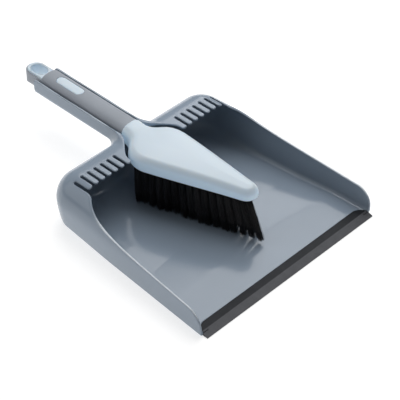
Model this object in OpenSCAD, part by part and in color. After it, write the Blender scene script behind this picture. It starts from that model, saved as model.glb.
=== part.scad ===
// Dustpan with a hand brush that nests in it. Millimetres, +Z up.
// The origin is on the ground, under the middle of the pan floor. The mouth of the pan faces -Y.

/* [Pan] */
// Outer width of the pan across its mouth
mouth_w = 239; // [230:0.2:244]
// Distance from the front edge of the lip to the origin
lip_to_origin = 104.5; // [103:0.5:107]
// Distance from the origin to the back of the pan
origin_to_back = 119.6; // [119:0.1:121]
// How much each side moves in, per millimetre towards the back
side_taper = 0.06; // [0.05:0.0025:0.08]
// Height of the flat top of the hood
hood_h = 57.5; // [56:0.5:58]
// Radius of the bend from the hood down to the walls
bend_r = 28; // [26:0.5:32]
// Radius of the back corners in plan, at the widest level of the walls
corner_r = 27; // [27:0.5:30]
// How far the foot of the walls leans in at the mouth
lean_front = 1; // [0.5:0.5:2]
// How far the foot of the walls leans in at the back
lean_back = 5; // [4:0.5:7]
// Thickness of the walls and hood
wall_t = 2.2; // [2:0.1:2.4]
// Thickness of the floor
floor_t = 2.6; // [2.4:0.1:2.8]
// Radius at the foot of the walls, outside
foot_r = 6; // [5:0.5:7]
// Height of the low crest in the floor behind the lip
crest_h = 4.6; // [3.6:0.1:4.6]

/* [Rim] */
// Height of the side walls at the mouth
rim_front_h = 25; // [22:1:27]
// Radius at the front end of each side wall
rim_end_r = 19; // [16:1:19]

/* [Comb] */
// Number of slots on each side of the comb under the hood edge
slots = 7; // [5:1:7]
// Spacing of the slots
slot_pitch = 8.4; // [8:0.1:8.4]
// Width of a slot
slot_w = 3; // [2:0.1:3.4]
// Distance from the middle of the pan to the first slot
first_slot_x = 42; // [42:0.2:44]
// Length of the teeth between the slots
tooth_l = 19.5; // [16:0.5:20]

/* [Channel] */
// Outer width of the channel that holds the brush handle
channel_w = 31; // [29.6:0.1:31.4]
// Height of the underside of the channel above the ground
channel_z = 37; // [36:0.5:37]
// Distance from the origin to the open end of the channel
channel_end = 236; // [230:1:238]
// How much narrower the channel is at its underside than at its rim, on each side
channel_draft = 1; // [0.5:0.1:1.5]
// Rise of the channel and handle towards the loop, in degrees
tilt = 0.7; // [0:0.1:0.9]

/* [Lip] */
// Width of the rubber lip
lip_w = 231; // [224:1:232]
// Depth of the rubber lip from front to back
lip_d = 16.2; // [16:0.1:18]

/* [Brush] */
// Height of the flat underside of the brush head
head_z = 48; // [47:0.5:48.5]
// Height of the brush head at its highest
head_top = 65; // [63:0.1:66]
// Width of the handle over the grip
grip_w = 24; // [23:0.1:24.2]
// Height of the top of the grip above the ground
grip_top = 62.3; // [60.5:0.1:62.5]
// Distance from the origin to the front end of the grip
grip_start = 111; // [110:1:112]
// Distance from the origin to the back end of the grip's top
grip_end = 229; // [226:1:229]
// Thickness of the soft layer of the grip
grip_t = 1.6; // [1.2:0.1:2]
// Width of the hanging loop
loop_w = 21; // [20:0.5:21.5]
// Distance from the origin to the end of the hanging loop
loop_end = 259; // [257:0.5:260]

/* [Tufts] */
// Spacing of the tufts along a row
tuft_pitch = 7.8; // [7.6:0.1:8.2]
// Spacing between the rows of tufts
row_pitch = 8.4; // [8.2:0.1:8.8]
// Diameter of the holes that hold the tufts
hole_d = 4.4; // [4:0.1:4.6]
// Depth of the holes that hold the tufts
hole_depth = 9.5; // [8:0.5:9.5]
// Height of the tips of the bristles above the ground
tip_z = 4.8; // [4.8:0.1:6]

/* [Hidden] */

gap = 0.05;               // between pieces that touch on the real object
cut = 200;                // reach of a cutting solid past the pan
lip_y = -lip_to_origin;
lip_back_y = lip_y + lip_d;
back_y = origin_to_back;
bend_z = hood_h - bend_r; // level at which the walls are widest
hood_front_y = 72;        // tips of the comb teeth
slot_root_y = hood_front_y + tooth_l;
rim_front_y = lip_y + 5.7;
crest_y = -48;            // where the floor is highest
arc_n = 8;                // steps round a corner or bend

function smooth(t) = let (c = min(max(t, 0), 1)) c * c * (3 - 2 * c);
function mix(a, b, t) = a + (b - a) * t;
function reversed(list) = [for (i = [len(list) - 1 : -1 : 0]) list[i]];

// ---- Pan surfaces: level loops of a rounded box that is open towards -Y ----

least_r = 0.5; // smallest corner where the hood closes over the walls

function belt_x(y) = mouth_w / 2 - side_taper * (y - lip_y);
function lean(y) = mix(lean_front, lean_back, (y - lip_y) / (back_y - lip_y));

// One level: the widest outline moved inwards by inset, and leaning in by a share of the lean
function pan_loop(z, inset) =
    let (
        share = pow(max(bend_z - z, 0) / bend_z, 1.5),
        front_y = lip_y - 5, // the open end passes the lip, and rim_cut() trims it
        front_x = belt_x(front_y) - inset - share * lean(front_y),
        rear_x = belt_x(back_y) - inset - share * lean_back,
        slant = atan((front_x - rear_x) / (back_y - front_y)),
        reach = front_x * cos(slant) + front_y * sin(slant),
        r = max(corner_r - inset - share * lean_back, least_r),
        yc = back_y - inset - share * lean_back - r,
        xc = (reach - r - yc * sin(slant)) / cos(slant),
        corner = [
            for (i = [0 : arc_n])
                let (a = mix(slant, 90, i / arc_n))
                [xc + r * cos(a), yc + r * sin(a), z]
        ],
        right = concat([[front_x, front_y, z]], corner)
    )
    concat(right, [for (p = reversed(right)) [-p[0], p[1], p[2]]]);

// All levels of one surface, from the foot radius up to the flat of the hood
function pan_levels(low_z, inset, foot) = concat(
    [
        for (i = [0 : 3])
            let (a = 30 * i)
            pan_loop(low_z + foot * (1 - cos(a)), inset + foot * (1 - sin(a)))
    ],
    [for (i = [1 : 3]) pan_loop(mix(low_z + foot, bend_z, i / 4), inset)],
    [
        for (i = [0 : arc_n])
            let (a = 90 * i / arc_n, r = bend_r - inset)
            pan_loop(bend_z + r * sin(a), inset + r * (1 - cos(a)))
    ]
);

// Closed skin over a list of loops that all have the same number of points
module skin(loops) {
    n = len(loops[0]);
    top = len(loops) - 1;
    sides = [
        for (k = [0 : top - 1], i = [0 : n - 1])
            let (a = k * n + i, b = k * n + (i + 1) % n)
            each [[a, a + n, b], [b, a + n, b + n]]
    ];
    ends = [[for (i = [0 : n - 1]) i], [for (i = [n - 1 : -1 : 0]) top * n + i]];
    polyhedron([for (l = loops) each l], concat(sides, ends));
}

// ---- Pan details ----

// A shape drawn in x and z, pulled along Y
module along_y(y_from, y_to) {
    translate([0, y_to, 0]) rotate([90, 0, 0]) linear_extrude(y_to - y_from) children();
}

// A shape drawn in y and z, pulled along X to both sides
module along_x(w) {
    translate([-w / 2, 0, 0]) rotate([90, 0, 90]) linear_extrude(w) children();
}

function rim_z(y) =
    let (u = (y - rim_front_y) / (hood_front_y - rim_front_y))
    rim_front_h + (hood_h - rim_front_h) * (0.455 * u + 0.545 * pow(u, 7.5));

// Everything in front of and above the rim
module rim_cut() {
    arc_y = rim_front_y + rim_end_r;
    arc = [
        for (i = [0 : arc_n])
            let (a = mix(180, 90, i / arc_n))
            [arc_y + rim_end_r * cos(a), rim_z(arc_y) - rim_end_r * (1 - sin(a))]
    ];
    slope = [for (i = [1 : 14]) let (y = mix(arc_y, hood_front_y, i / 14)) [y, rim_z(y)]];
    along_x(2 * cut)
        polygon(concat(
            [[-cut, -cut], [rim_front_y, -cut]], arc, slope,
            [[hood_front_y, cut], [-cut, cut]]
        ));
}

// Floor crest: a low ridge across the pan behind the lip
module floor_crest() {
    low = 1.5;  // sunk into the floor
    side = 3.2; // keeps the ends inside the wall
    stations = [[lip_back_y, floor_t + 0.2], [crest_y, crest_h], [0, floor_t]];
    loops = [
        for (s = stations)
            let (x = belt_x(s[0]) - lean(s[0]) - side)
            [[x, s[0], low], [-x, s[0], low], [-x, s[0], s[1]], [x, s[0], s[1]]]
    ];
    skin(loops);
}

// Tilts the channel and the handle about the place where they leave the hood
module tilted() {
    pivot = [0, 110, hood_h];
    translate(pivot) rotate([tilt, 0, 0]) translate(-pivot) children();
}

function channel_half(z) =
    channel_w / 2 - channel_draft * (hood_h - z) / (hood_h - channel_z);

// Section of the channel in x and z: leaning walls with rounded lower corners
module channel_section(inset, floor_h, top) {
    bottom = channel_z + floor_h;
    r = channel_r - inset;
    slant = atan(channel_draft / (hood_h - channel_z));
    side = (channel_half(top) - inset) * cos(slant) - top * sin(slant);
    x = (side - r + (bottom + r) * sin(slant)) / cos(slant);
    corner = [
        for (i = [0 : arc_n])
            let (a = mix(-slant, -90, i / arc_n))
            [x + r * cos(a), bottom + r + r * sin(a)]
    ];
    right = concat([[channel_half(top) - inset, top]], corner);
    polygon(concat(right, [for (p = reversed(right)) [-p[0], p[1]]]));
}

channel_wall = 2;
channel_floor = 2.2;
channel_start = 90; // inside the pan, where the cavity cuts it off
channel_r = 8;

module channel_outside() {
    round_r = 5;
    intersection() {
        along_y(channel_start, channel_end) channel_section(0, 0, hood_h);
        along_x(2 * channel_w) {
            square([channel_end - round_r, hood_h]);
            translate([channel_end - round_r, channel_z + round_r])
                square([round_r, hood_h - channel_z - 2 * round_r]);
            for (z = [channel_z + round_r, hood_h - round_r])
                translate([channel_end - round_r, z]) circle(r = round_r, $fn = 48);
        }
    }
}

// Fairing between the channel and the hood, with a hollow corner
module channel_fairing() {
    r = 12;
    low = bend_z + 8;
    edge = channel_w / 2 + r;
    front_y = channel_start + 2;
    back_y = 108;
    translate([0, 0, low]) linear_extrude(hood_h - low)
        for (s = [0, 1]) mirror([s, 0])
            difference() {
                polygon([
                    [0, front_y], [edge + 20, front_y], [edge, back_y], [edge, back_y + r],
                    [0, back_y + r]
                ]);
                translate([edge, back_y + r]) circle(r = r, $fn = 64);
            }
}

module channel_inside() {
    along_y(channel_start + 2, channel_end + 10)
        channel_section(channel_wall, channel_floor, hood_h + 10);
}

comb_low_z = 44;  // the cuts through the hood stop here, above the walls' foot
clear_y = 50;     // well in front of the hood

// Half width of the opening in the hood round the neck of the brush
opening_end_y = 111;
opening_tip_x = 34.6;

function opening_x(y) =
    mix(channel_w / 2 - channel_wall, opening_tip_x, smooth((opening_end_y - y) / 34));

module hood_opening() {
    n = 16;
    tip_r = 4;
    tip_y = hood_front_y + 3;
    edge = [
        for (i = [0 : n])
            let (y = mix(opening_end_y + 1, tip_y + 1.5, i / n))
            [opening_x(y), y]
    ];
    tip = [
        for (i = [0 : 4])
            let (a = 22.5 * i)
            [opening_tip_x + tip_r * (1 - cos(a)), tip_y - tip_r * sin(a)]
    ];
    right = concat(edge, tip, [[opening_tip_x + tip_r, clear_y]]);
    translate([0, 0, comb_low_z]) linear_extrude(cut)
        polygon(concat(right, [for (p = reversed(right)) [-p[0], p[1]]]));
}

module comb_cut() {
    tooth_w = slot_pitch - slot_w;
    slot_y = slot_root_y - slot_w / 2;
    overlap = 0.1;
    translate([0, 0, comb_low_z]) linear_extrude(cut) for (s = [0, 1]) mirror([s, 0]) {
        for (k = [0 : slots - 1]) translate([first_slot_x + k * slot_pitch, 0]) {
            translate([-slot_w / 2, clear_y]) square([slot_w, slot_y - clear_y]);
            translate([0, slot_y]) circle(d = slot_w, $fn = 32);
        }
        // Rounded tips of the teeth
        for (k = [0 : slots - 2])
            translate([first_slot_x + (k + 0.5) * slot_pitch, hood_front_y]) difference() {
                translate([-tooth_w / 2 - overlap, clear_y - hood_front_y])
                    square([tooth_w + 2 * overlap, hood_front_y + tooth_w / 2 - clear_y]);
                translate([0, tooth_w / 2]) circle(d = tooth_w, $fn = 32);
            }
    }
}

// A thin tongue is left at the front of the floor, for the lip to grip
tongue_w = 2 * (belt_x(lip_y) - lean_front - foot_r) - 2;
tongue_z = [0.9, 1.95];
tongue_y = lip_y + 9;

module tongue_cut() {
    start_y = lip_y - 20;
    low = -1;
    high = 10;
    for (z = [[low, tongue_z[0]], [tongue_z[1], high]])
        translate([-tongue_w / 2, start_y, z[0]])
            cube([tongue_w, lip_back_y - start_y, z[1] - z[0]]);
    translate([-tongue_w / 2, start_y, low]) cube([tongue_w, tongue_y - start_y, high - low]);
}

module pan_shell() {
    color([0.56, 0.61, 0.68]) difference() {
        union() {
            difference() {
                union() {
                    skin(concat([pan_loop(-1, foot_r)], pan_levels(0, 0, foot_r)));
                    tilted() channel_outside();
                    channel_fairing();
                }
                skin(pan_levels(floor_t, wall_t, foot_r - 2));
            }
            floor_crest();
        }
        translate([-cut, -cut, -cut]) cube([2 * cut, 2 * cut, cut]);
        rim_cut();
        tilted() channel_inside();
        hood_opening();
        comb_cut();
        tongue_cut();
    }
}

// Rubber lip: a thin blade on the ground, and a flange that grips the tongue of the floor
module pan_lip() {
    crease_y = lip_y + 8;
    edge_h = 0.7;
    blade_h = 2.4;
    crease_h = 2.9;
    rear_h = 3.2;
    blade_back = rim_front_y - gap;
    back = lip_back_y - gap;
    root = tongue_y - gap;
    color([0.27, 0.28, 0.30]) union() {
        along_x(lip_w)
            polygon([[lip_y, 0], [blade_back, 0], [blade_back, blade_h], [lip_y, edge_h]]);
        along_x(tongue_w - 2 * gap) polygon([
            [blade_back, 0], [back, 0], [back, tongue_z[0] - gap],
            [root, tongue_z[0] - gap], [root, tongue_z[1] + gap],
            [back, tongue_z[1] + gap], [back, rear_h],
            [crease_y, crease_h], [blade_back, blade_h]
        ]);
    }
}

// ---- Brush ----

function bezier(p, t) =
    pow(1 - t, 3) * p[0] + 3 * pow(1 - t, 2) * t * p[1] + 3 * (1 - t) * t * t * p[2] + pow(t, 3) * p[3];

// Plan outline of the head, from the nose to the neck: one list of curves for each side.
// The left side slants in and the right side is nearly straight.
nose = [13.5, -43.2];
half = grip_w / 2;
left_side = [
    [nose, [6.5, -43.2], [3, -38.8], [1.3, -33]],
    [[1.3, -33], [-5, -13], [-22.2, 30], [-31.8, 59]],
    [[-31.8, 59], [-35, 68], [-32.8, 80.2], [-25.4, 88.1]],
    [[-25.4, 88.1], [-19, 95], [-half, 97], [-half, grip_start - 0.5]]
];
right_side = [
    [nose, [19.5, -43.2], [22.6, -38.4], [23.2, -33.5]],
    [[23.2, -33.5], [24.2, 0], [26.5, 30], [28.6, 62]],
    [[28.6, 62], [28.9, 70], [27.9, 79.5], [21.6, 86]],
    [[21.6, 86], [15.8, 92.5], [half, 93], [half, grip_start - 0.5]]
];
// Height of the top at the ends of those curves
top_heights = [head_top - 6, head_top - 3, head_top, head_top - 1, grip_top];

function head_ring(seg, t) =
    let (
        l = bezier(left_side[seg], t),
        r = bezier(right_side[seg], t),
        top = mix(top_heights[seg], top_heights[seg + 1], smooth(t)),
        shoulder = head_z + 5,
        middle = (l + r) / 2,
        across = (r - l) / 2,
        crown = [
            for (i = [0 : 12])
                let (
                    a = 180 - 15 * i,
                    p = middle + across * sign(cos(a)) * pow(abs(cos(a)), 0.62),
                    z = shoulder + (top - shoulder) * pow(sin(a), 0.72)
                )
                [p[0], p[1], z]
        ]
    )
    concat([[l[0], l[1], head_z]], crown, [[r[0], r[1], head_z]]);

module brush_head() {
    steps = 5;
    rings = [
        for (seg = [0 : 3], i = [0 : steps - 1])
            if (seg > 0 || i > 0) head_ring(seg, i / steps)
    ];
    skin(concat(rings, [head_ring(3, 1)]));
}

// Rounded section of the handle, drawn in x and z and widest at the level middle
module handle_section(w, bottom, middle, top) {
    n = 48;
    squareness = 0.87;
    polygon([
        for (i = [0 : n - 1])
            let (a = 360 * i / n, c = cos(a), s = sin(a), h = s > 0 ? top - middle : middle - bottom)
            [
                w / 2 * sign(c) * pow(abs(c), squareness),
                middle + h * sign(s) * pow(abs(s), squareness)
            ]
    ]);
}

grip_bottom = channel_z + channel_floor + 0.2; // clears the floor of the channel
grip_middle = grip_top - 7.3;
loop_low = grip_bottom;
loop_top = 58.2;
loop_middle = (loop_low + loop_top) / 2;
loop_start = grip_end - 12;
hole_r = 7;
hole_y = [loop_end - 18, loop_end - 12]; // centres of the rounded ends of the long hole

// Plan of the hanging loop with its long hole
module loop_plan(w) {
    centre_y = loop_end - loop_w / 2;
    difference() {
        union() {
            translate([-w / 2, loop_start]) square([w, centre_y - loop_start]);
            translate([0, centre_y]) circle(d = w, $fn = 96);
        }
        for (y = hole_y) translate([0, y]) circle(r = hole_r, $fn = 64);
        translate([-hole_r, hole_y[0]]) square([2 * hole_r, hole_y[1] - hole_y[0]]);
    }
}

pad_y = [179, 215];
pad_w = 10.8;

// Raised oval on the core, which shows through a window in the grip
module pad(extra, z_from, z_to) {
    r = pad_w / 2 + extra;
    translate([0, 0, z_from]) linear_extrude(z_to - z_from) {
        for (y = [pad_y[0] + pad_w / 2, pad_y[1] - pad_w / 2])
            translate([0, y]) circle(r = r, $fn = 48);
        translate([-r, pad_y[0] + pad_w / 2])
            square([2 * r, pad_y[1] - pad_y[0] - pad_w]);
    }
}

module core(extra) {
    inset = grip_t - extra;
    along_y(100, grip_end - 4 + extra)
        handle_section(
            grip_w - 2 * inset, grip_bottom + inset, grip_middle, grip_top - inset
        );
    intersection() {
        translate([0, 0, loop_low + inset])
            linear_extrude(loop_top - loop_low - inset + extra) loop_plan(loop_w - 2 * inset);
        along_y(loop_start, loop_end)
            handle_section(loop_w - 2 * inset, loop_low + inset - 1, loop_middle, loop_top + 6);
    }
}

neck_y = 104; // the bare neck and the core overlap behind the head

module brush_stock() {
    color([0.80, 0.86, 0.91]) difference() {
        union() {
            brush_head();
            tilted() {
                core(0);
                along_y(neck_y, grip_start)
                    handle_section(grip_w, grip_bottom, grip_middle, grip_top);
                pad(0, grip_top - 8, grip_top - 0.2);
            }
        }
        for (k = [0 : rows - 1], p = tuft_roots(k))
            translate([p[0], p[1], head_z - 1]) cylinder(d = hole_d, h = hole_depth + 1, $fn = 24);
    }
}

// Soft layer over the core of the handle and round the outside of the loop
module grip_sleeve() {
    color([0.57, 0.58, 0.64]) tilted() difference() {
        union() {
            along_y(grip_start + gap, grip_end)
                handle_section(grip_w, grip_bottom, grip_middle, grip_top);
            intersection() {
                translate([0, 0, loop_low]) linear_extrude(loop_top - loop_low - 1.5)
                    loop_plan(loop_w);
                along_y(loop_start, loop_end)
                    handle_section(loop_w, loop_low - 1, loop_middle, loop_top + 6);
            }
        }
        core(gap);
        pad(gap, grip_top - 10, grip_top + 10);
    }
}

// ---- Tufts ----

rows = 6;
first_root = [-26.5, 75];
last_root = [10, -36];
run = (last_root - first_root) / norm(last_root - first_root);
side_step = [-run[1], run[0]];

nose_centre = [12, -31];
nose_reach = 7.2;       // a root in the rounded nose is no further than this from its centre
rear_limit = 77;
right_limit = 23.8;     // at the level of the widest part of the head
right_slant = 0.07;
widest_y = 68;

// Whether a tuft hole fits inside the head at this place
function fits(p) =
    p[1] < rear_limit &&
    p[0] < right_limit - right_slant * (widest_y - p[1]) &&
    (p[1] > nose_centre[1] || norm(p - nose_centre) < nose_reach);

function tuft_roots(row) = [
    for (j = [0 : 17])
        let (p = first_root + run * j * tuft_pitch + side_step * row * row_pitch)
        if (fits(p)) p
];

lean_at_rear = 2;
lean_at_nose = 16.4;

// Bristles near the nose lean forward the most
function lean_y(p) =
    let (forward = (first_root[1] - p[1]) / (first_root[1] - last_root[1]))
    -mix(lean_at_rear, lean_at_nose, pow(min(max(forward, 0), 1), 1.4));

// A round bundle that fills its hole, then spreads and leans towards the tips
module leaning_bundle(p) {
    n = 12;
    root_r = hole_d / 2 - gap;
    spread_r = 3.3;
    levels = [
        [tip_z, spread_r, lean_y(p)],
        [head_z - 0.3, root_r, 0],
        [head_z + hole_depth - gap, root_r, 0]
    ];
    skin([
        for (v = levels) [
            for (i = [0 : n - 1])
                let (a = 360 * i / n)
                [p[0] + v[1] * cos(a), p[1] + v[2] + v[1] * sin(a), v[0]]
        ]
    ]);
}

staple_l = hole_d - 0.3;
staple_t = 0.4;
staple_h = 1.6;
staple_z = head_z + hole_depth - 3;

module staple(p, extra) {
    translate([p[0] - staple_l / 2 - extra, p[1] - staple_t / 2 - extra, staple_z - extra])
        cube([staple_l + 2 * extra, staple_t + 2 * extra, staple_h + 2 * extra]);
}

// One row of folded bundles of bristle, each pinned in its hole by a staple
module tuft_row(row) {
    color([0.10, 0.095, 0.10])
        for (p = tuft_roots(row)) difference() {
            leaning_bundle(p);
            staple(p, gap);
        }
}

module tuft_staples() {
    color([0.75, 0.75, 0.77]) for (k = [0 : rows - 1], p = tuft_roots(k)) staple(p, 0);
}

pan_shell();
pan_lip();
brush_stock();
grip_sleeve();
tuft_row(0);  // tuft_row_1
tuft_row(1);  // tuft_row_2
tuft_row(2);  // tuft_row_3
tuft_row(3);  // tuft_row_4
tuft_row(4);  // tuft_row_5
tuft_row(5);  // tuft_row_6
tuft_staples();
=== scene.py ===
"""Dustpan with a hand brush nested in it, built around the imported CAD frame.

The moulded pieces are described by distance fields in millimetres and turned into smooth meshes,
so that every rim, slot and junction gets the rounding of a real moulding.
"""

import math

import bmesh
import bpy
import numpy as np
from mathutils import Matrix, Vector


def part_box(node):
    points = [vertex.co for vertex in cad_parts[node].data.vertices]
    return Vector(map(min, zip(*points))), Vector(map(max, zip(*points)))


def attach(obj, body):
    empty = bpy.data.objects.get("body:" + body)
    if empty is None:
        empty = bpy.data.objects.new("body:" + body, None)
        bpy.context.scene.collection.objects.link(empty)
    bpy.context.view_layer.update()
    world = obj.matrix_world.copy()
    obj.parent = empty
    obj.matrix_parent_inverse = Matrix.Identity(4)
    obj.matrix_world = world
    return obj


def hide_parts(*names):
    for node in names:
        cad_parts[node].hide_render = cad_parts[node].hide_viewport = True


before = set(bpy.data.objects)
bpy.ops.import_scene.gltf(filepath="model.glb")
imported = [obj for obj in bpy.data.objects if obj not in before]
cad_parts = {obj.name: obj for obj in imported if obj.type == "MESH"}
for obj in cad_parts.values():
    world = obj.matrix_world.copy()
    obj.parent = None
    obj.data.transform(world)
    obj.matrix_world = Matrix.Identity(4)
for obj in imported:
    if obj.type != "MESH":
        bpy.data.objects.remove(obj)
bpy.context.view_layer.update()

MM = 0.001
rng = np.random.default_rng(7)


def box_mm(node):
    lo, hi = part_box(node)
    return np.array(lo) / MM, np.array(hi) / MM


PAN_LO, PAN_HI = box_mm("pan_shell")
LIP_LO, LIP_HI = box_mm("pan_lip")
GRIP_HI = box_mm("grip_sleeve")[1]

BEYOND = 20              # well outside the object
GAP = 0.05               # between two pieces that are moulded onto each other
SOFT_EDGE_R = 0.35       # edges of the rubber and of the soft grip

# Pan, as in the CAD model
LIP_Y = LIP_LO[1]
LIP_BACK_Y = LIP_HI[1]
BELT_AT_LIP = 119.5      # half width at the widest level, at the lip
SIDE_TAPER = 0.060       # how much each side comes in for each mm towards the back
BACK_Y = 119.6
HOOD_H = 57.5
BEND_R = 28.0            # between the walls and the hood
BEND_Z = HOOD_H - BEND_R
CORNER_R = 27.0          # back corners, seen from above
LEAN_FRONT, LEAN_BACK = 0.8, 4.8    # how far the foot of the walls stands in
LEAN_POWER = 1.5
WALL_T = 2.2
FLOOR_T = 2.6
FOOT_R_INSIDE = (4.5, 12.0)         # at the mouth, and under the hood
FOOT_R_OUTSIDE = (3.0, 7.0)
FOOT_FROM_Y, FOOT_OVER = 20, 85     # where the radius of the foot grows
HOOD_FRONT_Y = 72.0
HOOD_EDGE_R = 0.8
RIM_FRONT_Y = PAN_LO[1]
RIM_FRONT_H = 25.0
RIM_END_R = 19.0
RIM_STEADY, RIM_SWEEP = 0.455, 0.545    # shares of its rise: an even slope, and a late sweep up
RIM_SWEEP_POWER = 7.5
RIM_EDGE_R = 0.9
CREST_H = 4.6
CREST_Y = -48.0
CREST_BOW, CREST_BOW_X = 8.5, 100       # the crest has bowed forward by 8.5 mm at 100 mm from the middle
CREST_UP, CREST_DOWN = 0.050, 0.046     # slopes of the floor on the two sides of the crest
CREST_ROUNDING = 0.3

# Comb in the hood
SLOTS = 7
SLOT_PITCH = 8.4
SLOT_W = 3.0
FIRST_SLOT_X = 42.0
TOOTH_L = 19.5
TOOTH_SET_BACK = 0.4
FIRST_TOOTH_R = 2
COMB_BOTTOM = 44
COMB_CORNER_R = 2.5
COMB_FRONT_Y = 50.0      # well in front of the teeth

# Opening in the hood round the neck of the brush
OPENING_HALF = 34.6
OPENING_BACK_Y, OPENING_FRONT_Y = 111, 76
OPENING_OVER = 34
OPENING_CORNER_R = 3.4

# Channel for the handle
CHANNEL_HALF = 15.5
CHANNEL_Z = 37.0
CHANNEL_FROM_Y = 85
CHANNEL_OPEN_Y = 92
CHANNEL_END = PAN_HI[1]
CHANNEL_WALL = 2.0
CHANNEL_R = 8            # between its floor and its sides, outside
CHANNEL_END_R = 5
CHANNEL_FILLET = 12      # between the channel and the back wall
CHANNEL_DRAFT = 0.05
CHANNEL_EDGE_R = 0.5
CHANNEL_EDGE_Y, CHANNEL_EDGE_OVER = 100, 15    # where the pan's edge radius changes to the channel's
TILT = 0.0122            # the handle and its channel rise a little towards the loop
TILT_FROM = 110.0

# Rubber lip and its seat in the pan
SEAT_HALF = 115.0
SEAT_R = 12.5
SEAT_DEPTH = 1.2
SEAT_H = 9
LIP_TOP = FLOOR_T + 0.45
LIP_EDGE_T = 0.7
LIP_BACK_T = 1.5
LIP_SKIN_T = 1.1         # how deep the flange goes into the pan
LIP_INSET = 7            # how much narrower the blade is behind the front of the rim
CREASE_Y = LIP_Y + 8
CREASE_W = 2

# Head of the brush
HEAD_Z = 48.0
HEAD_TOP = 65.0
HEAD_PEAK_Y = 60
HEAD_FALL_OVER = 102
NOSE_DROP, NOSE_DROP_POWER = 4.5, 2.2
CROWN_H, CROWN_W = 2.2, 24
NECK_FROM_Y, NECK_OVER = 64, 36
HEAD_EDGE_R = 6.5
HEAD_UNDER_R = 1.2

# Handle and hanging loop
GRIP_HALF = GRIP_HI[0]
GRIP_LOW, GRIP_MID, GRIP_TOP = 39.4, 55.0, 62.3
GRIP_START = 111.0
GRIP_END = 229.0
GRIP_END_R = 0.6
GRIP_T = 1.6
GRIP_POWER = 2.3         # 2 gives an elliptic section, and more a squarer one
NECK_START_Y = 90
NECK_SINK, NECK_SINK_Y, NECK_SINK_OVER = 3, 109, 12    # the neck goes down into the head
NECK_FILLET = 5
CORE_START_Y = 100
CORE_SHORT = 3           # how far the core ends before the grip does
LOOP_END = 259.0
LOOP_LOW, LOOP_TOP = 39.4, 58.2
LOOP_HALF = 10.5
LOOP_START_Y = 150       # hidden inside the handle
LOOP_HIDDEN = 10         # how far the ring reaches into the handle
LOOP_SLEEVE_DROP = 1.3   # how far the sleeve ends below the top of the loop
LOOP_BELLY_H, LOOP_BELLY_TOP = 13, 9
LOOP_BELLY_POWER = 3.2
LOOP_EDGE_R = 0.7
HOLE_R = 7.0
HOLE_Y = (LOOP_END - 18, LOOP_END - 12)    # centres of its round ends
HOLE_FLARE, HOLE_FLARE_Z, HOLE_FLARE_H = 1.6, 50, 9
PAD_Y = (179.0, 215.0)
PAD_HALF = 5.4
PAD_BOTTOM = 52
PAD_SUNK = 0.15          # how far the pad lies below the grip round it
PAD_GAP = 0.15
PAD_EDGE_R = 0.3


# ---- Distance fields: negative inside, in millimetres ----

def smooth(t):
    t = np.clip(t, 0, 1)
    return t * t * (3 - 2 * t)


def mix(a, b, t):
    return a + (b - a) * t


def meet(a, b, r):
    """The common part of two shapes, with its edge rounded by r."""
    both = np.hypot(np.maximum(a + r, 0), np.maximum(b + r, 0))
    return np.minimum(-r, np.maximum(a, b)) + both


def join(a, b, r):
    """Two shapes joined, with a fillet of r between them."""
    return -meet(-a, -b, r)


def outline_field(points, cell=0.25, margin=6.0):
    """A lookup for the signed distance to a closed outline: negative inside it."""
    pts = np.array(points, float)
    lo, hi = pts.min(0) - margin, pts.max(0) + margin
    nx, ny = np.ceil((hi - lo) / cell).astype(int) + 1
    gx, gy = np.meshgrid(lo[0] + cell * np.arange(nx), lo[1] + cell * np.arange(ny), indexing="ij")
    best = np.full(gx.shape, 1e9)
    inside = np.zeros(gx.shape, bool)
    for (ax, ay), (bx, by) in zip(pts, np.roll(pts, -1, 0)):
        dx, dy = bx - ax, by - ay
        size = dx * dx + dy * dy
        if size < 1e-12:
            continue
        t = np.clip(((gx - ax) * dx + (gy - ay) * dy) / size, 0, 1)
        best = np.minimum(best, (gx - ax - t * dx) ** 2 + (gy - ay - t * dy) ** 2)
        if abs(dy) > 1e-12:
            crosses = (ay > gy) != (by > gy)
            inside ^= crosses & (gx < ax + (gy - ay) * dx / dy)
    table = np.sqrt(best) * np.where(inside, -1, 1)

    def look_up(u, v):
        fu = np.clip((u - lo[0]) / cell, 0, nx - 1.001)
        fv = np.clip((v - lo[1]) / cell, 0, ny - 1.001)
        i, j = fu.astype(int), fv.astype(int)
        a, b = fu - i, fv - j
        near = table[i, j] * (1 - a) + table[i + 1, j] * a
        far = table[i, j + 1] * (1 - a) + table[i + 1, j + 1] * a
        return near * (1 - b) + far * b

    return look_up


def arc(cx, cy, r, from_deg, to_deg, steps=10):
    angles = np.radians(np.linspace(from_deg, to_deg, steps + 1))
    return [(cx + r * math.cos(a), cy + r * math.sin(a)) for a in angles]


# ---- Distance field to mesh ----

def sample(field, points, chunk=1500000):
    out = np.empty(len(points))
    for i in range(0, len(points), chunk):
        p = points[i:i + chunk]
        out[i:i + chunk] = field(p[:, 0], p[:, 1], p[:, 2])
    return out


def gradient(field, points, eps=0.04):
    g = np.empty_like(points)
    for axis in range(3):
        step = np.zeros(3)
        step[axis] = eps
        g[:, axis] = (sample(field, points + step) - sample(field, points - step)) / (2 * eps)
    return g


def settle(field, points, reach, rounds=3):
    """Moves points onto the surface and returns them with the surface's normals there."""
    start = points.copy()
    for _ in range(rounds):
        g = gradient(field, points)
        size = np.maximum((g * g).sum(1), 0.05)
        points = points - g * (sample(field, points) / size)[:, None]
        shift = points - start
        far = np.maximum(np.linalg.norm(shift, axis=1) / reach, 1)
        points = start + shift / far[:, None]
    g = gradient(field, points)
    return points, g / np.maximum(np.linalg.norm(g, axis=1), 1e-9)[:, None]


CORNERS = [(i, j, k) for i in (0, 1) for j in (0, 1) for k in (0, 1)]
EDGES = [(a, b) for a in CORNERS for b in CORNERS if a < b and sum(np.abs(np.subtract(a, b))) == 1]


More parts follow.
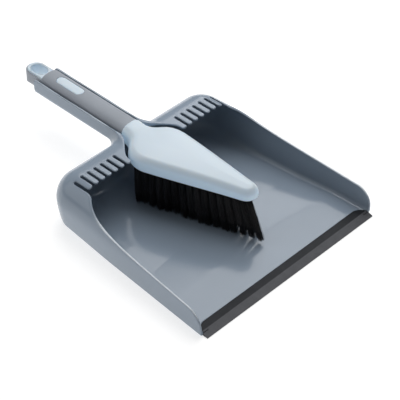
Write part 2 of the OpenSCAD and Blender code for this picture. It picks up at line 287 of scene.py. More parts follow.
def surface_net(field, lo, hi, cell):
    """Quads over the zero level of a field: one vertex in each grid cell that the surface crosses."""
    block = 8
    lo = np.array(lo, float)
    blocks = np.ceil((np.array(hi, float) - lo) / (cell * block)).astype(int)
    n = blocks * block + 1
    index = np.stack(np.meshgrid(*[np.arange(k) for k in blocks], indexing="ij"), -1)
    centres = lo + (index.reshape(-1, 3) + 0.5) * block * cell
    coarse = sample(field, centres).reshape(blocks)
    near = np.abs(coarse) < block * cell * 1.15

    def spread(a):
        for axis in range(3):
            a = np.repeat(a, block, axis)
        return np.pad(a, [(0, 1)] * 3, mode="edge")

    values = np.where(spread(coarse) < 0, -1e3, 1e3).astype(np.float32)
    wanted = spread(near)
    for axis in range(3):
        wanted = wanted | np.roll(wanted, 1, axis)
    at = np.argwhere(wanted)
    values[tuple(at.T)] = sample(field, lo + at * cell)

    inside = values < 0
    count = sum(
        inside[i:n[0] - 1 + i, j:n[1] - 1 + j, k:n[2] - 1 + k].astype(np.int8)
        for i, j, k in CORNERS
    )
    cells = np.argwhere((count > 0) & (count < 8))
    total = np.zeros((len(cells), 3))
    hits = np.zeros(len(cells))
    for a, b in EDGES:
        va, vb = values[tuple((cells + a).T)], values[tuple((cells + b).T)]
        cross = (va < 0) != (vb < 0)
        t = np.where(cross, va / np.where(cross, va - vb, 1), 0)
        point = np.array(a) + t[:, None] * (np.array(b) - np.array(a))
        total += point * cross[:, None]
        hits += cross
    verts = lo + (cells + total / hits[:, None]) * cell

    ids = np.full(n - 1, -1, np.int64)
    ids[tuple(cells.T)] = np.arange(len(cells))
    quads = []
    for axis in range(3):
        u, v = (axis + 1) % 3, (axis + 2) % 3
        step = np.eye(3, dtype=int)
        upper = np.roll(inside, -1, axis)
        change = inside != upper
        rows = np.argwhere(change)
        ok = (rows[:, axis] < n[axis] - 1) & (rows[:, u] > 0) & (rows[:, v] > 0)
        ok &= (rows[:, u] < n[u] - 1) & (rows[:, v] < n[v] - 1)
        rows = rows[ok]
        ring = [rows - step[u] - step[v], rows - step[v], rows, rows - step[u]]
        quad = np.stack([ids[tuple(r.T)] for r in ring], 1)
        quad = np.where(inside[tuple(rows.T)][:, None], quad, quad[:, ::-1])
        quads.append(quad)
    quads = np.concatenate(quads)
    return verts, quads[(quads >= 0).all(1)]


def new_object(name, verts_mm, faces, normals=None):
    mesh = bpy.data.meshes.new(name)
    mesh.from_pydata((verts_mm * MM).tolist(), [], faces)
    mesh.update()
    mesh.polygons.foreach_set("use_smooth", np.ones(len(mesh.polygons), bool))
    if normals is not None:
        mesh.normals_split_custom_set_from_vertices(normals.tolist())
    obj = bpy.data.objects.new(name, mesh)
    bpy.context.scene.collection.objects.link(obj)
    return obj


def moulding(name, field, lo, hi, cell, keep):
    """A smooth mesh of a field. Its flat areas are thinned out until the share keep of the faces is left."""
    reach = cell * 0.8
    verts, quads = surface_net(field, lo, hi, cell)
    verts, _ = settle(field, verts, reach)
    dense = new_object(name, verts, quads.tolist())
    thin = dense.modifiers.new("thin", "DECIMATE")
    thin.ratio = keep
    evaluated = dense.evaluated_get(bpy.context.evaluated_depsgraph_get())
    thinned = bpy.data.meshes.new_from_object(evaluated)
    verts = np.empty(len(thinned.vertices) * 3)
    thinned.vertices.foreach_get("co", verts)
    faces = [tuple(p.vertices) for p in thinned.polygons]
    bpy.data.objects.remove(dense)
    bpy.data.meshes.remove(thinned)
    verts, normals = settle(field, verts.reshape(-1, 3) / MM, reach)
    return new_object(name, verts, faces, normals)


# ---- Pan ----

def belt_x(y):
    return BELT_AT_LIP - SIDE_TAPER * (y - LIP_Y)


def plan_depth(x, y):
    """Distance outside the pan's widest outline in plan."""
    side = (np.abs(x) - belt_x(y)) * math.cos(math.atan(SIDE_TAPER))
    return meet(side, y - BACK_Y, CORNER_R)


def lean(y, z):
    along = np.clip((y - LIP_Y) / (BACK_Y - LIP_Y), 0, 1)
    below = np.clip((BEND_Z - z) / BEND_Z, 0, 1)
    return mix(LEAN_FRONT, LEAN_BACK, along) * below ** LEAN_POWER


def foot_r(y, radii):
    """Radius between the floor and the walls: tight at the mouth and wide under the hood."""
    return mix(*radii, smooth((y - FOOT_FROM_Y) / FOOT_OVER))


def floor_z(x, y):
    """Top of the floor: it rises from the lip to a low crest and falls away behind it."""
    crest_y = CREST_Y - CREST_BOW * (np.abs(x) / CREST_BOW_X) ** 3
    up = CREST_H + (y - crest_y) * CREST_UP
    down = CREST_H - (y - crest_y) * CREST_DOWN
    low = 0.5 * (up + down - np.sqrt((up - down) ** 2 + CREST_ROUNDING ** 2))
    return np.maximum(low, FLOOR_T)


def pan_outside(x, y, z):
    depth = plan_depth(x, y)
    bend = np.hypot(np.maximum(depth + BEND_R, 0), z - BEND_Z) - BEND_R
    wall = meet(depth + lean(y, z), -z, foot_r(y, FOOT_R_OUTSIDE))
    return np.where(z > BEND_Z, bend, wall)


def pan_inside(x, y, z):
    depth = plan_depth(x, y)
    r = BEND_R - WALL_T
    bend = np.hypot(np.maximum(depth + BEND_R, 0), z - BEND_Z) - r
    wall = meet(depth + WALL_T + lean(y, z), floor_z(x, y) - z, foot_r(y, FOOT_R_INSIDE))
    return np.where(z > BEND_Z, bend, wall)


def rim_height(y):
    u = (y - RIM_FRONT_Y) / (HOOD_FRONT_Y - RIM_FRONT_Y)
    return RIM_FRONT_H + (HOOD_H - RIM_FRONT_H) * (RIM_STEADY * u + RIM_SWEEP * u ** RIM_SWEEP_POWER)


def rim_outline():
    """The empty space above and in front of the rim, seen from the side."""
    arc_y = RIM_FRONT_Y + RIM_END_R
    top = rim_height(arc_y)
    front = arc(arc_y, top - RIM_END_R, RIM_END_R, 180, 90, 16)
    slope = [(y, rim_height(y)) for y in np.linspace(arc_y, HOOD_FRONT_Y, 60)[1:]]
    outside = [
        (HOOD_FRONT_Y, HOOD_H + BEYOND), (LIP_Y - BEYOND, HOOD_H + BEYOND),
        (LIP_Y - BEYOND, -BEYOND), (RIM_FRONT_Y, -BEYOND),
    ]
    return front + slope + outside


def opening_x(y):
    """Half width of the opening in the hood round the neck of the brush."""
    return mix(CHANNEL_HALF - CHANNEL_WALL, OPENING_HALF, smooth((OPENING_BACK_Y - y) / OPENING_OVER))


def comb_outline():
    """The empty space in the hood, seen from above, for x above 0."""
    rows = np.linspace(OPENING_BACK_Y, OPENING_FRONT_Y, 40)
    points = [(-BEYOND, OPENING_BACK_Y)] + [(float(opening_x(y)), y) for y in rows]
    r = OPENING_CORNER_R
    points += arc(float(opening_x(OPENING_FRONT_Y)) + r, HOOD_FRONT_Y + r, r, 180, 270)
    left = FIRST_SLOT_X - SLOT_W / 2
    points += arc(left - FIRST_TOOTH_R, HOOD_FRONT_Y + FIRST_TOOTH_R, FIRST_TOOTH_R, 270, 360)
    root_y = HOOD_FRONT_Y + TOOTH_L
    tip_r = (SLOT_PITCH - SLOT_W) / 2
    for k in range(SLOTS):
        x = FIRST_SLOT_X + k * SLOT_PITCH
        points += arc(x, root_y - SLOT_W / 2, SLOT_W / 2, 180, 0, 8)
        if k < SLOTS - 1:
            tip_y = HOOD_FRONT_Y + tip_r + TOOTH_SET_BACK
            points += arc(x + SLOT_PITCH / 2, tip_y, tip_r, 180, 360, 12)
    last = FIRST_SLOT_X + (SLOTS - 1) * SLOT_PITCH + SLOT_W / 2
    return points + [(last, COMB_FRONT_Y), (-BEYOND, COMB_FRONT_Y)]


rim_space = outline_field(rim_outline())
comb_space = outline_field(comb_outline())


def u_channel(x, z, half, bottom, r):
    draft = np.clip(CHANNEL_DRAFT * (HOOD_H - z), -1, 1.5)
    return meet(np.abs(x) - half + draft, bottom - z, r)


def level(y, z):
    """Height measured from the sloping line of the handle."""
    return z - TILT * np.maximum(y - TILT_FROM, 0)


def channel_outside(x, y, z):
    z = level(y, z)
    end_bottom = meet(y - CHANNEL_END, CHANNEL_Z - z, CHANNEL_END_R)
    end_top = meet(y - CHANNEL_END, z - HOOD_H, CHANNEL_END_R)
    sides = u_channel(x, z, CHANNEL_HALF, CHANNEL_Z, CHANNEL_R)
    ends = np.maximum(np.maximum(end_bottom, end_top), CHANNEL_FROM_Y - y)
    return np.maximum(np.maximum(sides, ends), z - HOOD_H)


def channel_inside(x, y, z):
    z = level(y, z)
    half, r = CHANNEL_HALF - CHANNEL_WALL, CHANNEL_R - CHANNEL_WALL
    sides = u_channel(x, z, half, CHANNEL_Z + WALL_T, r)
    return np.maximum(sides, CHANNEL_OPEN_Y - y)


def seat_plan(x, y):
    """Outline of the rubber flange: its back corners curve forward to the ends of the walls."""
    return meet(np.abs(x) - SEAT_HALF, y - LIP_BACK_Y, SEAT_R)


def lip_seat(x, y, z):
    """The step at the front of the pan that the rubber lip is moulded onto."""
    return np.maximum(np.maximum(seat_plan(x, y), pan_inside(x, y, z) - SEAT_DEPTH), z - SEAT_H)


def pan_field(x, y, z):
    outside = join(pan_outside(x, y, z), channel_outside(x, y, z), CHANNEL_FILLET)
    outside = meet(outside, level(y, z) - HOOD_H, HOOD_EDGE_R)
    inside = pan_inside(x, y, z)
    shell = np.maximum(outside, -inside)
    comb = np.maximum(comb_space(np.abs(x), y), COMB_BOTTOM - z)
    empty = join(rim_space(y, z), comb, COMB_CORNER_R)
    empty = np.minimum(empty, channel_inside(x, y, z))
    edge_r = mix(RIM_EDGE_R, CHANNEL_EDGE_R, smooth((y - CHANNEL_EDGE_Y) / CHANNEL_EDGE_OVER))
    shell = meet(shell, -empty, edge_r)
    return np.maximum(shell, -lip_seat(x, y, z))


def make_pan():
    lo = (-122, RIM_FRONT_Y - 3, -2)
    hi = (122, CHANNEL_END + 3, HOOD_H + 5)
    return moulding("pan_shell_moulding", pan_field, lo, hi, 0.85, keep=0.4)


# ---- Lip ----

def lip_outline():
    """Section of the blade in y and z: it thins from the crease to its front edge."""
    back = RIM_FRONT_Y - GAP
    return [
        (LIP_Y, 0.0), (LIP_Y, LIP_EDGE_T), (CREASE_Y, LIP_TOP),
        (CREASE_Y + CREASE_W, LIP_TOP), (CREASE_Y + CREASE_W, LIP_BACK_T),
        (back, LIP_BACK_T), (back, 0.0),
    ]


lip_section = outline_field(lip_outline(), cell=0.1, margin=3.0)


def lip_field(x, y, z):
    half = np.where(y < RIM_FRONT_Y - GAP, LIP_HI[0], LIP_HI[0] - LIP_INSET)
    blade = meet(lip_section(y, z), np.abs(x) - half, 0.3)
    inside = pan_inside(x, y, z)
    drop = np.clip(CREASE_Y - y, 0, 3) * (LIP_TOP - LIP_EDGE_T) / (CREASE_Y - LIP_Y)
    skin = np.maximum(inside - LIP_SKIN_T, -inside - (LIP_TOP - FLOOR_T) + drop)
    skin = meet(skin, seat_plan(x, y) + GAP, SOFT_EDGE_R)
    skin = np.maximum(skin, RIM_FRONT_Y + 0.6 - y)
    return np.minimum(blade, skin)


def make_lip():
    lo = (-118, LIP_Y - 1.5, -1.5)
    hi = (118, LIP_BACK_Y + 1.5, 10)
    return moulding("pan_lip_rubber", lip_field, lo, hi, 0.42, keep=0.5)


# ---- Brush ----

def bezier(p, steps):
    t = np.linspace(0, 1, steps + 1)[:, None]
    p = np.array(p, float)
    return (1 - t) ** 3 * p[0] + 3 * (1 - t) ** 2 * t * p[1] + 3 * (1 - t) * t * t * p[2] + t ** 3 * p[3]


NOSE = (13.5, -43.2)
LEFT_SIDE = [
    [NOSE, (6.5, -43.2), (3, -38.8), (1.3, -33)],
    [(1.3, -33), (-5, -13), (-22.2, 30), (-31.8, 59)],
    [(-31.8, 59), (-35, 68), (-32.8, 80.2), (-25.4, 88.1)],
    [(-25.4, 88.1), (-19, 95), (-11.8, 97), (-12, 111)],
]
RIGHT_SIDE = [
    [NOSE, (19.5, -43.2), (22.6, -38.4), (23.2, -33.5)],
    [(23.2, -33.5), (24.2, 0), (26.5, 30), (28.6, 62)],
    [(28.6, 62), (28.9, 70), (27.9, 79.5), (21.6, 86)],
    [(21.6, 86), (15.8, 92.5), (11.6, 93), (12, 111)],
]


def head_outline():
    left = [p for curve in LEFT_SIDE for p in bezier(curve, 16)[:-1]] + [np.array((-12, 125.0))]
    right = [p for curve in RIGHT_SIDE for p in bezier(curve, 16)[:-1]] + [np.array((12, 125.0))]
    return [tuple(p) for p in right + left[::-1]]


head_plan = outline_field(head_outline(), margin=12.0)


def head_ridge(y):
    """Height of the middle of the head: highest at its widest, lower at the nose and neck."""
    forward = np.clip((HEAD_PEAK_Y - y) / HEAD_FALL_OVER, 0, 2)
    front = HEAD_TOP - NOSE_DROP * forward ** NOSE_DROP_POWER
    neck = (HEAD_TOP - GRIP_TOP) * smooth((y - HEAD_PEAK_Y) / (GRIP_START - HEAD_PEAK_Y))
    return front - neck


def head_field(x, y, z):
    side = head_plan(x, y)
    crown = CROWN_H * (1 - np.clip(-side / CROWN_W, 0, 1)) ** 2
    edge = np.clip(1 + side / GRIP_HALF, 0, 1)
    dome = (GRIP_TOP - GRIP_MID) * (1 - (1 - edge ** GRIP_POWER + 1e-9) ** (1 / GRIP_POWER))
    near_neck = smooth((y - NECK_FROM_Y) / NECK_OVER)
    top = z - head_ridge(y) + mix(crown, dome, near_neck)
    body = meet(side, top, HEAD_EDGE_R)
    return np.maximum(meet(body, HEAD_Z - z, HEAD_UNDER_R), y - GRIP_START - 1)


def handle_section(x, y, z, half, low, mid, top, power=GRIP_POWER):
    """A rounded bar along the handle, widest at the level mid."""
    above = level(y, z) - mid
    u = np.abs(x) / half
    v = np.where(above > 0, above / (top - mid), -above / (mid - low))
    size = (u ** power + v ** power + 1e-9) ** (1 / power)
    return (size - 1) * (top - mid)


def stadium(x, y, y0, y1, r):
    """A long round-ended shape along Y."""
    return np.hypot(x, y - np.clip(y, y0, y1)) - r


def loop_body(x, y, z, half, low, top):
    """The ring of the loop with its long hole, which widens towards the bottom."""
    plan = stadium(x, y, LOOP_START_Y, LOOP_END - LOOP_HALF, half)
    flare = HOLE_FLARE * smooth((HOLE_FLARE_Z - z) / HOLE_FLARE_H)
    hole = stadium(x, y, *HOLE_Y, HOLE_R + flare)
    ring = np.maximum(plan, GRIP_END - LOOP_HIDDEN - y)
    mid, section_top = low + LOOP_BELLY_H, top + LOOP_BELLY_TOP
    belly = handle_section(x, y, z, half + 0.01, low, mid, section_top, LOOP_BELLY_POWER)
    ring = np.maximum(ring, belly)
    ring = meet(ring, level(y, z) - top, LOOP_EDGE_R)
    return meet(ring, -hole, LOOP_EDGE_R)


def pad_field(x, y, z, extra=0.0):
    plan = stadium(x, y, PAD_Y[0] + PAD_HALF, PAD_Y[1] - PAD_HALF, PAD_HALF + extra)
    return np.maximum(plan, PAD_BOTTOM - z)


def core_field(x, y, z, extra=0.0):
    t = GRIP_T - extra
    bar = handle_section(x, y, z, GRIP_HALF - t, GRIP_LOW + t, GRIP_MID, GRIP_TOP - t)
    bar = np.maximum(bar, np.maximum(CORE_START_Y - y, y - GRIP_END + CORE_SHORT - extra))
    loop = loop_body(x, y, z, LOOP_HALF - t, LOOP_LOW + t, LOOP_TOP)
    return np.minimum(bar, loop)


def stock_field(x, y, z):
    sunk = NECK_SINK * smooth((NECK_SINK_Y - y) / NECK_SINK_OVER)
    neck = handle_section(x, y, z + sunk, GRIP_HALF, GRIP_LOW, GRIP_MID, GRIP_TOP)
    neck = join(head_field(x, y, z), np.maximum(neck, NECK_START_Y - y), NECK_FILLET)
    neck = meet(neck, y - GRIP_START + 2 * GAP, SOFT_EDGE_R)
    pad_top = handle_section(x, y, z, GRIP_HALF, GRIP_LOW, GRIP_MID, GRIP_TOP - PAD_SUNK)
    pad = meet(pad_field(x, y, z), pad_top, PAD_EDGE_R)
    return np.minimum(np.minimum(neck, core_field(x, y, z)), pad)


def make_stock():
    lo = (-37, -45, GRIP_LOW - 2)
    hi = (33, LOOP_END + 2, HEAD_TOP + 3)
    return moulding("brush_stock_moulding", stock_field, lo, hi, 0.8, keep=0.8)


def grip_field(x, y, z):
    bar = handle_section(x, y, z, GRIP_HALF, GRIP_LOW, GRIP_MID, GRIP_TOP)
    bar = meet(bar, y - GRIP_END, GRIP_END_R)
    loop = loop_body(x, y, z, LOOP_HALF, LOOP_LOW, LOOP_TOP - LOOP_SLEEVE_DROP)
    both = np.minimum(bar, loop)
    both = meet(both, GRIP_START + 2 * GAP - y, SOFT_EDGE_R)
    both = meet(both, -pad_field(x, y, z, PAD_GAP), SOFT_EDGE_R)
    return np.maximum(both, -core_field(x, y, z, GAP))


def make_grip():
    lo = (-15, GRIP_START - 2, GRIP_LOW - 2)
    hi = (15, LOOP_END + 2, GRIP_TOP + 4)
    return moulding("grip_sleeve_soft", grip_field, lo, hi, 0.55, keep=0.8)


# ---- Bristles ----

def islands(obj):
    """The separate solids of a CAD node, each as an array of points in millimetres."""
    work = bmesh.new()
    work.from_mesh(obj.data)
    bmesh.ops.remove_doubles(work, verts=work.verts, dist=1e-6)
    left, groups = set(work.verts), []
    while left:
        stack, group = [left.pop()], []
        while stack:
            v = stack.pop()
            group.append(v)
            for e in v.link_edges:
                w = e.other_vert(v)
                if w in left:
                    left.discard(w)
                    stack.append(w)
        groups.append(np.array([v.co for v in group]) / MM)
    work.free()
    return sorted(groups, key=lambda g: tuple(np.round(g.mean(0), 2)))


def filament(root, tip, bow, width, sides=3, steps=4):
    """One bristle: a thin tapering rod that bows sideways on its way to the tip."""
    t = np.linspace(0, 1, steps + 1)[:, None]
    path = root + (tip - root) * t + bow * (t ** 1.6 - t)
    angles = rng.uniform(0, 2 * math.pi) + np.arange(sides) * 2 * math.pi / sides
    ring = np.stack([np.cos(angles), np.sin(angles), np.zeros(sides)], 1)
    radius = width / 2 * (1 - FILAMENT_TAPER * t ** 3)
    verts = (path[:, None, :] + ring[None] * radius[:, :, None]).reshape(-1, 3)
    faces = []
    for k in range(steps):
        for s in range(sides):
            a, b = k * sides + s, k * sides + (s + 1) % sides
            faces.append((a, a + sides, b + sides, b))
    faces.append(tuple(range(sides)))
    faces.append(tuple(reversed(range(steps * sides, (steps + 1) * sides))))
    return verts, faces


FILAMENTS = 230
CLUMPS = 7               # pointed locks in one tuft
FILAMENT_W = 0.30
FILAMENT_TAPER = 0.35
ROOT_DEPTH = 3           # how far the bristles reach up into the head
ROOT_R = 2.1
TIP_R = (3.4, 2.9)       # at the back of the brush, and at its front
TRIM = (-1.6, 2.9)       # how much shorter than the CAD tuft
TIPS_LEFT, TIPS_FORWARD = 1.0, 2.8
FLARE = 4.5              # the tuft spreads late, near its tips
FRONT_Y, FRONT_OVER = 10, 45
GROUND_GAP = 0.3


def make_tufts(node, name):
    """Bristles for each tuft of a CAD row, from its hole to its tip."""
    verts, faces, shade = [], [], []
    base = 0
    for solid in islands(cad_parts[node]):
        root_z, tip_z = HEAD_Z + ROOT_DEPTH, solid[:, 2].min()
        top = solid[solid[:, 2] > solid[:, 2].max() - 0.5].mean(0)
        end = solid[solid[:, 2] < tip_z + 0.5].mean(0)
        tone = rng.uniform(0, 1)
        swing = rng.normal(0, 0.4, 2)
        front = float(smooth((FRONT_Y - top[1]) / FRONT_OVER))
        trim = mix(*TRIM, front) + rng.normal(0, 0.35)
        clump_trim = rng.normal(0, 0.75, CLUMPS)
        clump_side = rng.normal(0, 0.5, (CLUMPS, 2))
        for _ in range(FILAMENTS):
            a, q = rng.uniform(0, 2 * math.pi), math.sqrt(rng.uniform())
            spot = np.array([math.cos(a), math.sin(a)]) * q
            clump = int(a / (2 * math.pi) * CLUMPS)
            root = np.array([top[0] + ROOT_R * spot[0], top[1] + ROOT_R * spot[1], root_z])
            spread = mix(*TIP_R, front) + 0.35 * rng.normal()
            stray = rng.standard_t(4, 2) * (0.3, 0.45)
            x = end[0] - TIPS_LEFT + spread * spot[0] + swing[0] + clump_side[clump][0] + stray[0]
            y = end[1] - TIPS_FORWARD * front
            y = y + spread * spot[1] + swing[1] + clump_side[clump][1] + stray[1]
            ground = float(floor_z(np.array(x), np.array(y)))
            short = rng.gamma(0.9, 1.2) + max(clump_trim[clump], -0.6) + 0.8 * front * q ** 2
            z = max(ground + GROUND_GAP + rng.uniform(0, 0.4), tip_z + trim + short)
            bow = np.array([rng.normal(0, 0.5), (end[1] - top[1]) * 0.2 + rng.normal(0, 0.6), 0])
            bow[:2] -= FLARE * spot
            v, f = filament(root, np.array([x, y, z]), bow, FILAMENT_W)
            verts.append(v)
            faces += [tuple(base + i for i in face) for face in f]
            shade += [0.55 * tone + 0.45 * rng.uniform()] * len(v)
            base += len(v)
    obj = new_object(name, np.concatenate(verts), faces)
    layer = obj.data.attributes.new("tone", "FLOAT", "POINT")
    layer.data.foreach_set("value", np.array(shade, np.float32))
    return obj


# ---- Materials ----

def shader(mat):
    tree = mat.node_tree
    return tree.nodes, tree.links, tree.nodes["Principled BSDF"]


def material(name):
    mat = bpy.data.materials.new(name)
    mat.use_nodes = True
    return mat, *shader(mat)


def noise(nodes, links, scale, detail, coords):
    tex = nodes.new("ShaderNodeTexNoise")
    tex.inputs["Scale"].default_value = scale
    tex.inputs["Detail"].default_value = detail
    links.new(coords, tex.inputs["Vector"])
    return tex.outputs["Fac"]


def ramp(nodes, links, fac, stops):
    node = nodes.new("ShaderNodeValToRGB")
    links.new(fac, node.inputs["Fac"])
    elements = node.color_ramp.elements
    while len(elements) < len(stops):
        elements.new(0.5)
    for element, (at, colour) in zip(elements, stops):
        element.position = at
        element.color = (*colour, 1)
    return node.outputs["Color"]


def remap(nodes, links, value, low, high, start=0.0, stop=1.0, kind="LINEAR"):
    """Carries the range from start to stop over to the range from low to high."""
    node = nodes.new("ShaderNodeMapRange")
    node.interpolation_type = kind
    links.new(value, node.inputs["Value"])
    node.inputs["From Min"].default_value = start
    node.inputs["From Max"].default_value = stop
    node.inputs["To Min"].default_value = low
    node.inputs["To Max"].default_value = high
    return node.outputs["Result"]


def calculate(nodes, links, operation, *values):
    """A sum or product of sockets and plain numbers."""
    node = nodes.new("ShaderNodeMath")
    node.operation = operation
    for socket, value in zip(node.inputs, values):
        if isinstance(value, float):
            socket.default_value = value
        else:
            links.new(value, socket)
    return node.outputs["Value"]


def axes(nodes, links, vector):
    """The x, y and z of a vector."""
    node = nodes.new("ShaderNodeSeparateXYZ")
    links.new(vector, node.inputs["Vector"])
    return node.outputs["X"], node.outputs["Y"], node.outputs["Z"]


def tinted(nodes, links, share, first, second):
    """The first colour, turning into the second as share goes from 0 to 1."""
    node = nodes.new("ShaderNodeMix")
    node.data_type = "RGBA"
    inputs = [socket for socket in node.inputs if socket.enabled]
    links.new(share, inputs[0])
    for socket, colour in zip(inputs[1:], (first, second)):
        if isinstance(colour, tuple):
            socket.default_value = (*colour, 1)
        else:
            links.new(colour, socket)
    return next(socket for socket in node.outputs if socket.enabled)


def bump(nodes, links, bsdf, height, strength, distance):
    node = nodes.new("ShaderNodeBump")
    node.inputs["Strength"].default_value = strength
    node.inputs["Distance"].default_value = distance
    links.new(height, node.inputs["Height"])
    links.new(node.outputs["Normal"], bsdf.inputs["Normal"])


def object_coords(nodes):
    return nodes.new("ShaderNodeTexCoord").outputs["Object"]


def upward_part(nodes, links):
    """How far the surface faces up: 1 on top, 0 on a wall and -1 underneath."""
    return axes(nodes, links, nodes.new("ShaderNodeTexCoord").outputs["Normal"])[2]


def moulded_plastic(name, colour, rough, grain, cloud=0.03, glow=0.04):
    """Polypropylene with a fine spark-eroded grain and slight unevenness in colour and shine."""
    mat, nodes, links, bsdf = material(name)
    coords = object_coords(nodes)
    soft = noise(nodes, links, 14, 3, coords)
    dark = tuple(c * (1 - cloud) for c in colour)
    light = tuple(min(c * (1 + cloud), 1) for c in colour)
    links.new(ramp(nodes, links, soft, [(0.3, dark), (0.7, light)]), bsdf.inputs["Base Color"])
    fine = noise(nodes, links, 2600, 2, coords)
    links.new(remap(nodes, links, soft, rough - 0.03, rough + 0.03), bsdf.inputs["Roughness"])
    bump(nodes, links, bsdf, fine, grain, 0.00004)
    bsdf.inputs["IOR"].default_value = 1.49
    bsdf.inputs["Subsurface Weight"].default_value = glow
    bsdf.inputs["Subsurface Radius"].default_value = (0.004, 0.005, 0.006)
    return mat


def paint_glow_in_sides(mat, colour):
    """Painted glow: emission in the sides of a pale moulding, standing in for daylight that enters it from
    above and glows in its sides.
    """
    nodes, links, bsdf = shader(mat)
    upward = remap(nodes, links, upward_part(nodes, links), 0.0, 1.0, -1.0, 1.0)
    # Painted glow: no emission underneath, the given colour glowing in the sides, and only a faint glow on
    # top.
    dark, faint = (0, 0, 0), tuple(c * 0.15 for c in colour)
    stops = [(0.30, dark), (0.45, colour), (0.58, colour), (0.90, faint)]
    links.new(ramp(nodes, links, upward, stops), bsdf.inputs["Emission Color"])
    along = axes(nodes, links, object_coords(nodes))[1]
    links.new(remap(nodes, links, along, 1.0, 0.35, 0.20, 0.23), bsdf.inputs["Emission Strength"])


def polish_floor_paint_rim_highlight(mat):
    """Polish the floor of the pan, and paint a pale highlight on the upward-facing top edges of its rim and
    of the handle channel's rim.
    """
    nodes, links, bsdf = shader(mat)
    _, y, z = axes(nodes, links, object_coords(nodes))

    def ease(value, start, stop, low=0.0, high=1.0):
        return remap(nodes, links, value, low, high, start, stop, "SMOOTHSTEP")

    def times(a, b):
        return calculate(nodes, links, "MULTIPLY", a, b)

    side_rim = times(ease(z, 0.016, 0.020), ease(y, 0.055, 0.035))
    level_z = calculate(nodes, links, "MULTIPLY_ADD", y, -TILT, z)
    brink = (HOOD_H - TILT_FROM * TILT) * MM
    channel_rim = times(ease(level_z, brink - 0.0012, brink - 0.0005), ease(y, 0.122, 0.132, 0.0, 0.35))
    rim = calculate(nodes, links, "ADD", side_rim, channel_rim)
    # Painted highlight: the top edge of the rim, where it faces up, is painted pale.
    painted_rim_highlight = times(ease(upward_part(nodes, links), 0.3, 0.8), rim)
    plain = bsdf.inputs["Base Color"].links[0].from_socket
    links.new(tinted(nodes, links, painted_rim_highlight, plain, (0.66, 0.72, 0.78)), bsdf.inputs["Base Color"])
    rough = bsdf.inputs["Roughness"].links[0].from_socket
    polish = ease(z, 0.006, 0.016, -0.07, 0.0)
    links.new(calculate(nodes, links, "ADD", rough, polish), bsdf.inputs["Roughness"])


def soft_touch(name, colour):
    """Thermoplastic elastomer: matt, with a fine leathery grain."""
    mat, nodes, links, bsdf = material(name)
    coords = object_coords(nodes)
    soft = noise(nodes, links, 30, 4, coords)
    dark, light = tuple(c * 0.95 for c in colour), tuple(c * 1.05 for c in colour)
    links.new(ramp(nodes, links, soft, [(0.3, dark), (0.7, light)]), bsdf.inputs["Base Color"])
    fine = noise(nodes, links, 1500, 3, coords)
    links.new(remap(nodes, links, fine, 0.5, 0.62), bsdf.inputs["Roughness"])
    bump(nodes, links, bsdf, fine, 0.35, 0.00008)
    bsdf.inputs["Sheen Weight"].default_value = 0.12
    bsdf.inputs["Sheen Roughness"].default_value = 0.5
    return mat


def lip_rubber(name):
    """Dark rubber with faint streaks along the blade; the blade is painted paler than the flange as painted
    sheen.
    """
    mat, nodes, links, bsdf = material(name)
    coords = object_coords(nodes)
    stretch = nodes.new("ShaderNodeMapping")
    stretch.inputs["Scale"].default_value = (12, 900, 300)
    links.new(coords, stretch.inputs["Vector"])
    streak = noise(nodes, links, 1, 3, stretch.outputs["Vector"])
    dust = noise(nodes, links, 120, 5, coords)
    links.new(remap(nodes, links, streak, 0.42, 0.6), bsdf.inputs["Roughness"])
    bump(nodes, links, bsdf, streak, 0.25, 0.00006)
    along = axes(nodes, links, coords)[1]
    # Painted sheen: the blade in front of the crease is painted paler than the flat flange behind it.
    blade = remap(nodes, links, along, 0.0, 1.0, (CREASE_Y + 0.4) * MM, (CREASE_Y - 0.4) * MM)
    dark = ramp(nodes, links, dust, [(0.35, (0.017, 0.019, 0.023)), (0.75, (0.024, 0.026, 0.031))])
    pale = ramp(nodes, links, dust, [(0.35, (0.074, 0.077, 0.086)), (0.75, (0.093, 0.096, 0.107))])
    links.new(tinted(nodes, links, blade, dark, pale), bsdf.inputs["Base Color"])
    links.new(remap(nodes, links, blade, 0.12, 0.3), bsdf.inputs["Specular IOR Level"])
    return mat


def bristle_black(name):
    """Black filament, a little different from tuft to tuft."""
    mat, nodes, links, bsdf = material(name)
    tone = nodes.new("ShaderNodeAttribute")
    tone.attribute_name = "tone"
    colour = ramp(
        nodes, links, tone.outputs["Fac"],
        [(0.0, (0.008, 0.0075, 0.009)), (0.6, (0.020, 0.018, 0.020)), (1.0, (0.055, 0.051, 0.056))],
    )
    links.new(colour, bsdf.inputs["Base Color"])
    links.new(remap(nodes, links, tone.outputs["Fac"], 0.36, 0.44), bsdf.inputs["Roughness"])
    fine = noise(nodes, links, 900, 2, object_coords(nodes))
    bump(nodes, links, bsdf, fine, 0.2, 0.00005)
    return mat


def staple_steel(name):
    mat, nodes, links, bsdf = material(name)
    fine = noise(nodes, links, 1800, 2, object_coords(nodes))
    links.new(remap(nodes, links, fine, 0.25, 0.45), bsdf.inputs["Roughness"])
    colour = ramp(nodes, links, fine, [(0.3, (0.50, 0.50, 0.51)), (0.7, (0.62, 0.62, 0.63))])
    links.new(colour, bsdf.inputs["Base Color"])
    bsdf.inputs["Metallic"].default_value = 1
    bump(nodes, links, bsdf, fine, 0.2, 0.00003)
    return mat


def place(obj, body, node, mat):
    obj.data.materials.clear()
    obj.data.materials.append(mat)
    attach(obj, body)
    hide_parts(node)


pan_blue = moulded_plastic("pan_polypropylene", (0.27, 0.33, 0.405), 0.21, 0.05)
# The pan's rim gets a painted highlight along its top edge.
polish_floor_paint_rim_highlight(pan_blue)
stock_blue = moulded_plastic("stock_polypropylene", (0.64, 0.73, 0.80), 0.36, 0.12, 0.015, 0.5)
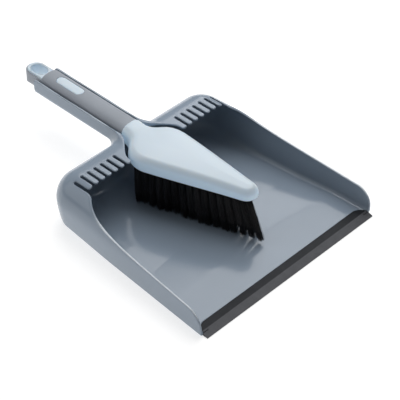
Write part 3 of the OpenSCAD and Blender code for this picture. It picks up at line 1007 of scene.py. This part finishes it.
# The stock gets a painted glow in its sides.
paint_glow_in_sides(stock_blue, (0.125, 0.18, 0.235))
place(make_pan(), "dustpan", "pan_shell", pan_blue)
place(make_lip(), "dustpan", "pan_lip", lip_rubber("lip_rubber"))
place(make_stock(), "brush", "brush_stock", stock_blue)
grip_grey = soft_touch("grip_elastomer", (0.31, 0.34, 0.385))
place(make_grip(), "brush", "grip_sleeve", grip_grey)
black = bristle_black("bristle_filament")
for row in range(1, 7):
    node = f"tuft_row_{row}"
    place(make_tufts(node, f"bristles_row_{row}"), "brush", node, black)
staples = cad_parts["tuft_staples"]
staples.data.materials.clear()
staples.data.materials.append(staple_steel("staple_wire"))


# ---- Stage, lights and camera ----

def make_floor():
    mesh = bpy.data.meshes.new("floor")
    size = 4.0
    corners = [(-size, -size, 0), (size, -size, 0), (size, size, 0), (-size, size, 0)]
    mesh.from_pydata(corners, [], [(0, 1, 2, 3)])
    floor = bpy.data.objects.new("floor", mesh)
    floor.location = (0, 0, -0.0004)
    bpy.context.scene.collection.objects.link(floor)
    mat, nodes, links, bsdf = material("pale_floor")
    fine = noise(nodes, links, 60, 2, object_coords(nodes))
    colour = ramp(nodes, links, fine, [(0.3, (0.50, 0.50, 0.50)), (0.7, (0.52, 0.52, 0.52))])
    links.new(colour, bsdf.inputs["Base Color"])
    bsdf.inputs["Roughness"].default_value = 0.9
    bsdf.inputs["Specular IOR Level"].default_value = 0.1
    bsdf.inputs["Emission Color"].default_value = (1, 1, 1, 1)
    bsdf.inputs["Emission Strength"].default_value = 0.71
    mesh.materials.append(mat)


def area_light(name, direction, distance, size, power):
    """A soft box that looks at the middle of the pan from a direction."""
    light = bpy.data.lights.new(name, "AREA")
    light.shape = "RECTANGLE"
    light.size, light.size_y = size
    light.energy = power
    obj = bpy.data.objects.new(name, light)
    aim = Vector((0, 0.02, 0.03))
    way = Vector(direction).normalized()
    obj.location = aim + way * distance
    obj.rotation_mode = "QUATERNION"
    obj.rotation_quaternion = (-way).to_track_quat("-Z", "Y")
    bpy.context.scene.collection.objects.link(obj)


def make_world(strength):
    world = bpy.data.worlds.new("studio")
    bpy.context.scene.world = world
    world.use_nodes = True
    back = world.node_tree.nodes["Background"]
    back.inputs["Color"].default_value = (1, 1, 1, 1)
    back.inputs["Strength"].default_value = strength


def make_camera():
    """A long lens from the left of the mouth, well above the ground."""
    azimuth, elevation = math.radians(-45.98), math.radians(40.67)
    aim, distance = Vector((-0.0092, 0.0079, 0.030)), 1.5768
    back = Vector((
        math.sin(azimuth) * math.cos(elevation),
        -math.cos(azimuth) * math.cos(elevation),
        math.sin(elevation),
    ))
    data = bpy.data.cameras.new("camera")
    data.sensor_width = 36
    data.lens = 149.2
    data.shift_x, data.shift_y = 0.00075, 0.0013
    data.clip_start, data.clip_end = 0.05, 20
    camera = bpy.data.objects.new("camera", data)
    camera.location = aim + back * distance
    camera.rotation_mode = "QUATERNION"
    camera.rotation_quaternion = (-back).to_track_quat("-Z", "Y")
    bpy.context.scene.collection.objects.link(camera)
    bpy.context.scene.camera = camera


bpy.context.scene.view_settings.view_transform = "Standard"
make_floor()
make_world(0.135)
area_light("key", (0.45, 0.3, 1.2), 1.5, (1.3, 1.3), 16.2)
area_light("fill", (-0.85, 0.8, 0.65), 1.25, (0.9, 0.8), 2.0)
area_light("rim", (1.05, 0.62, 0.72), 1.8, (1.0, 0.7), 6.5)
make_camera()
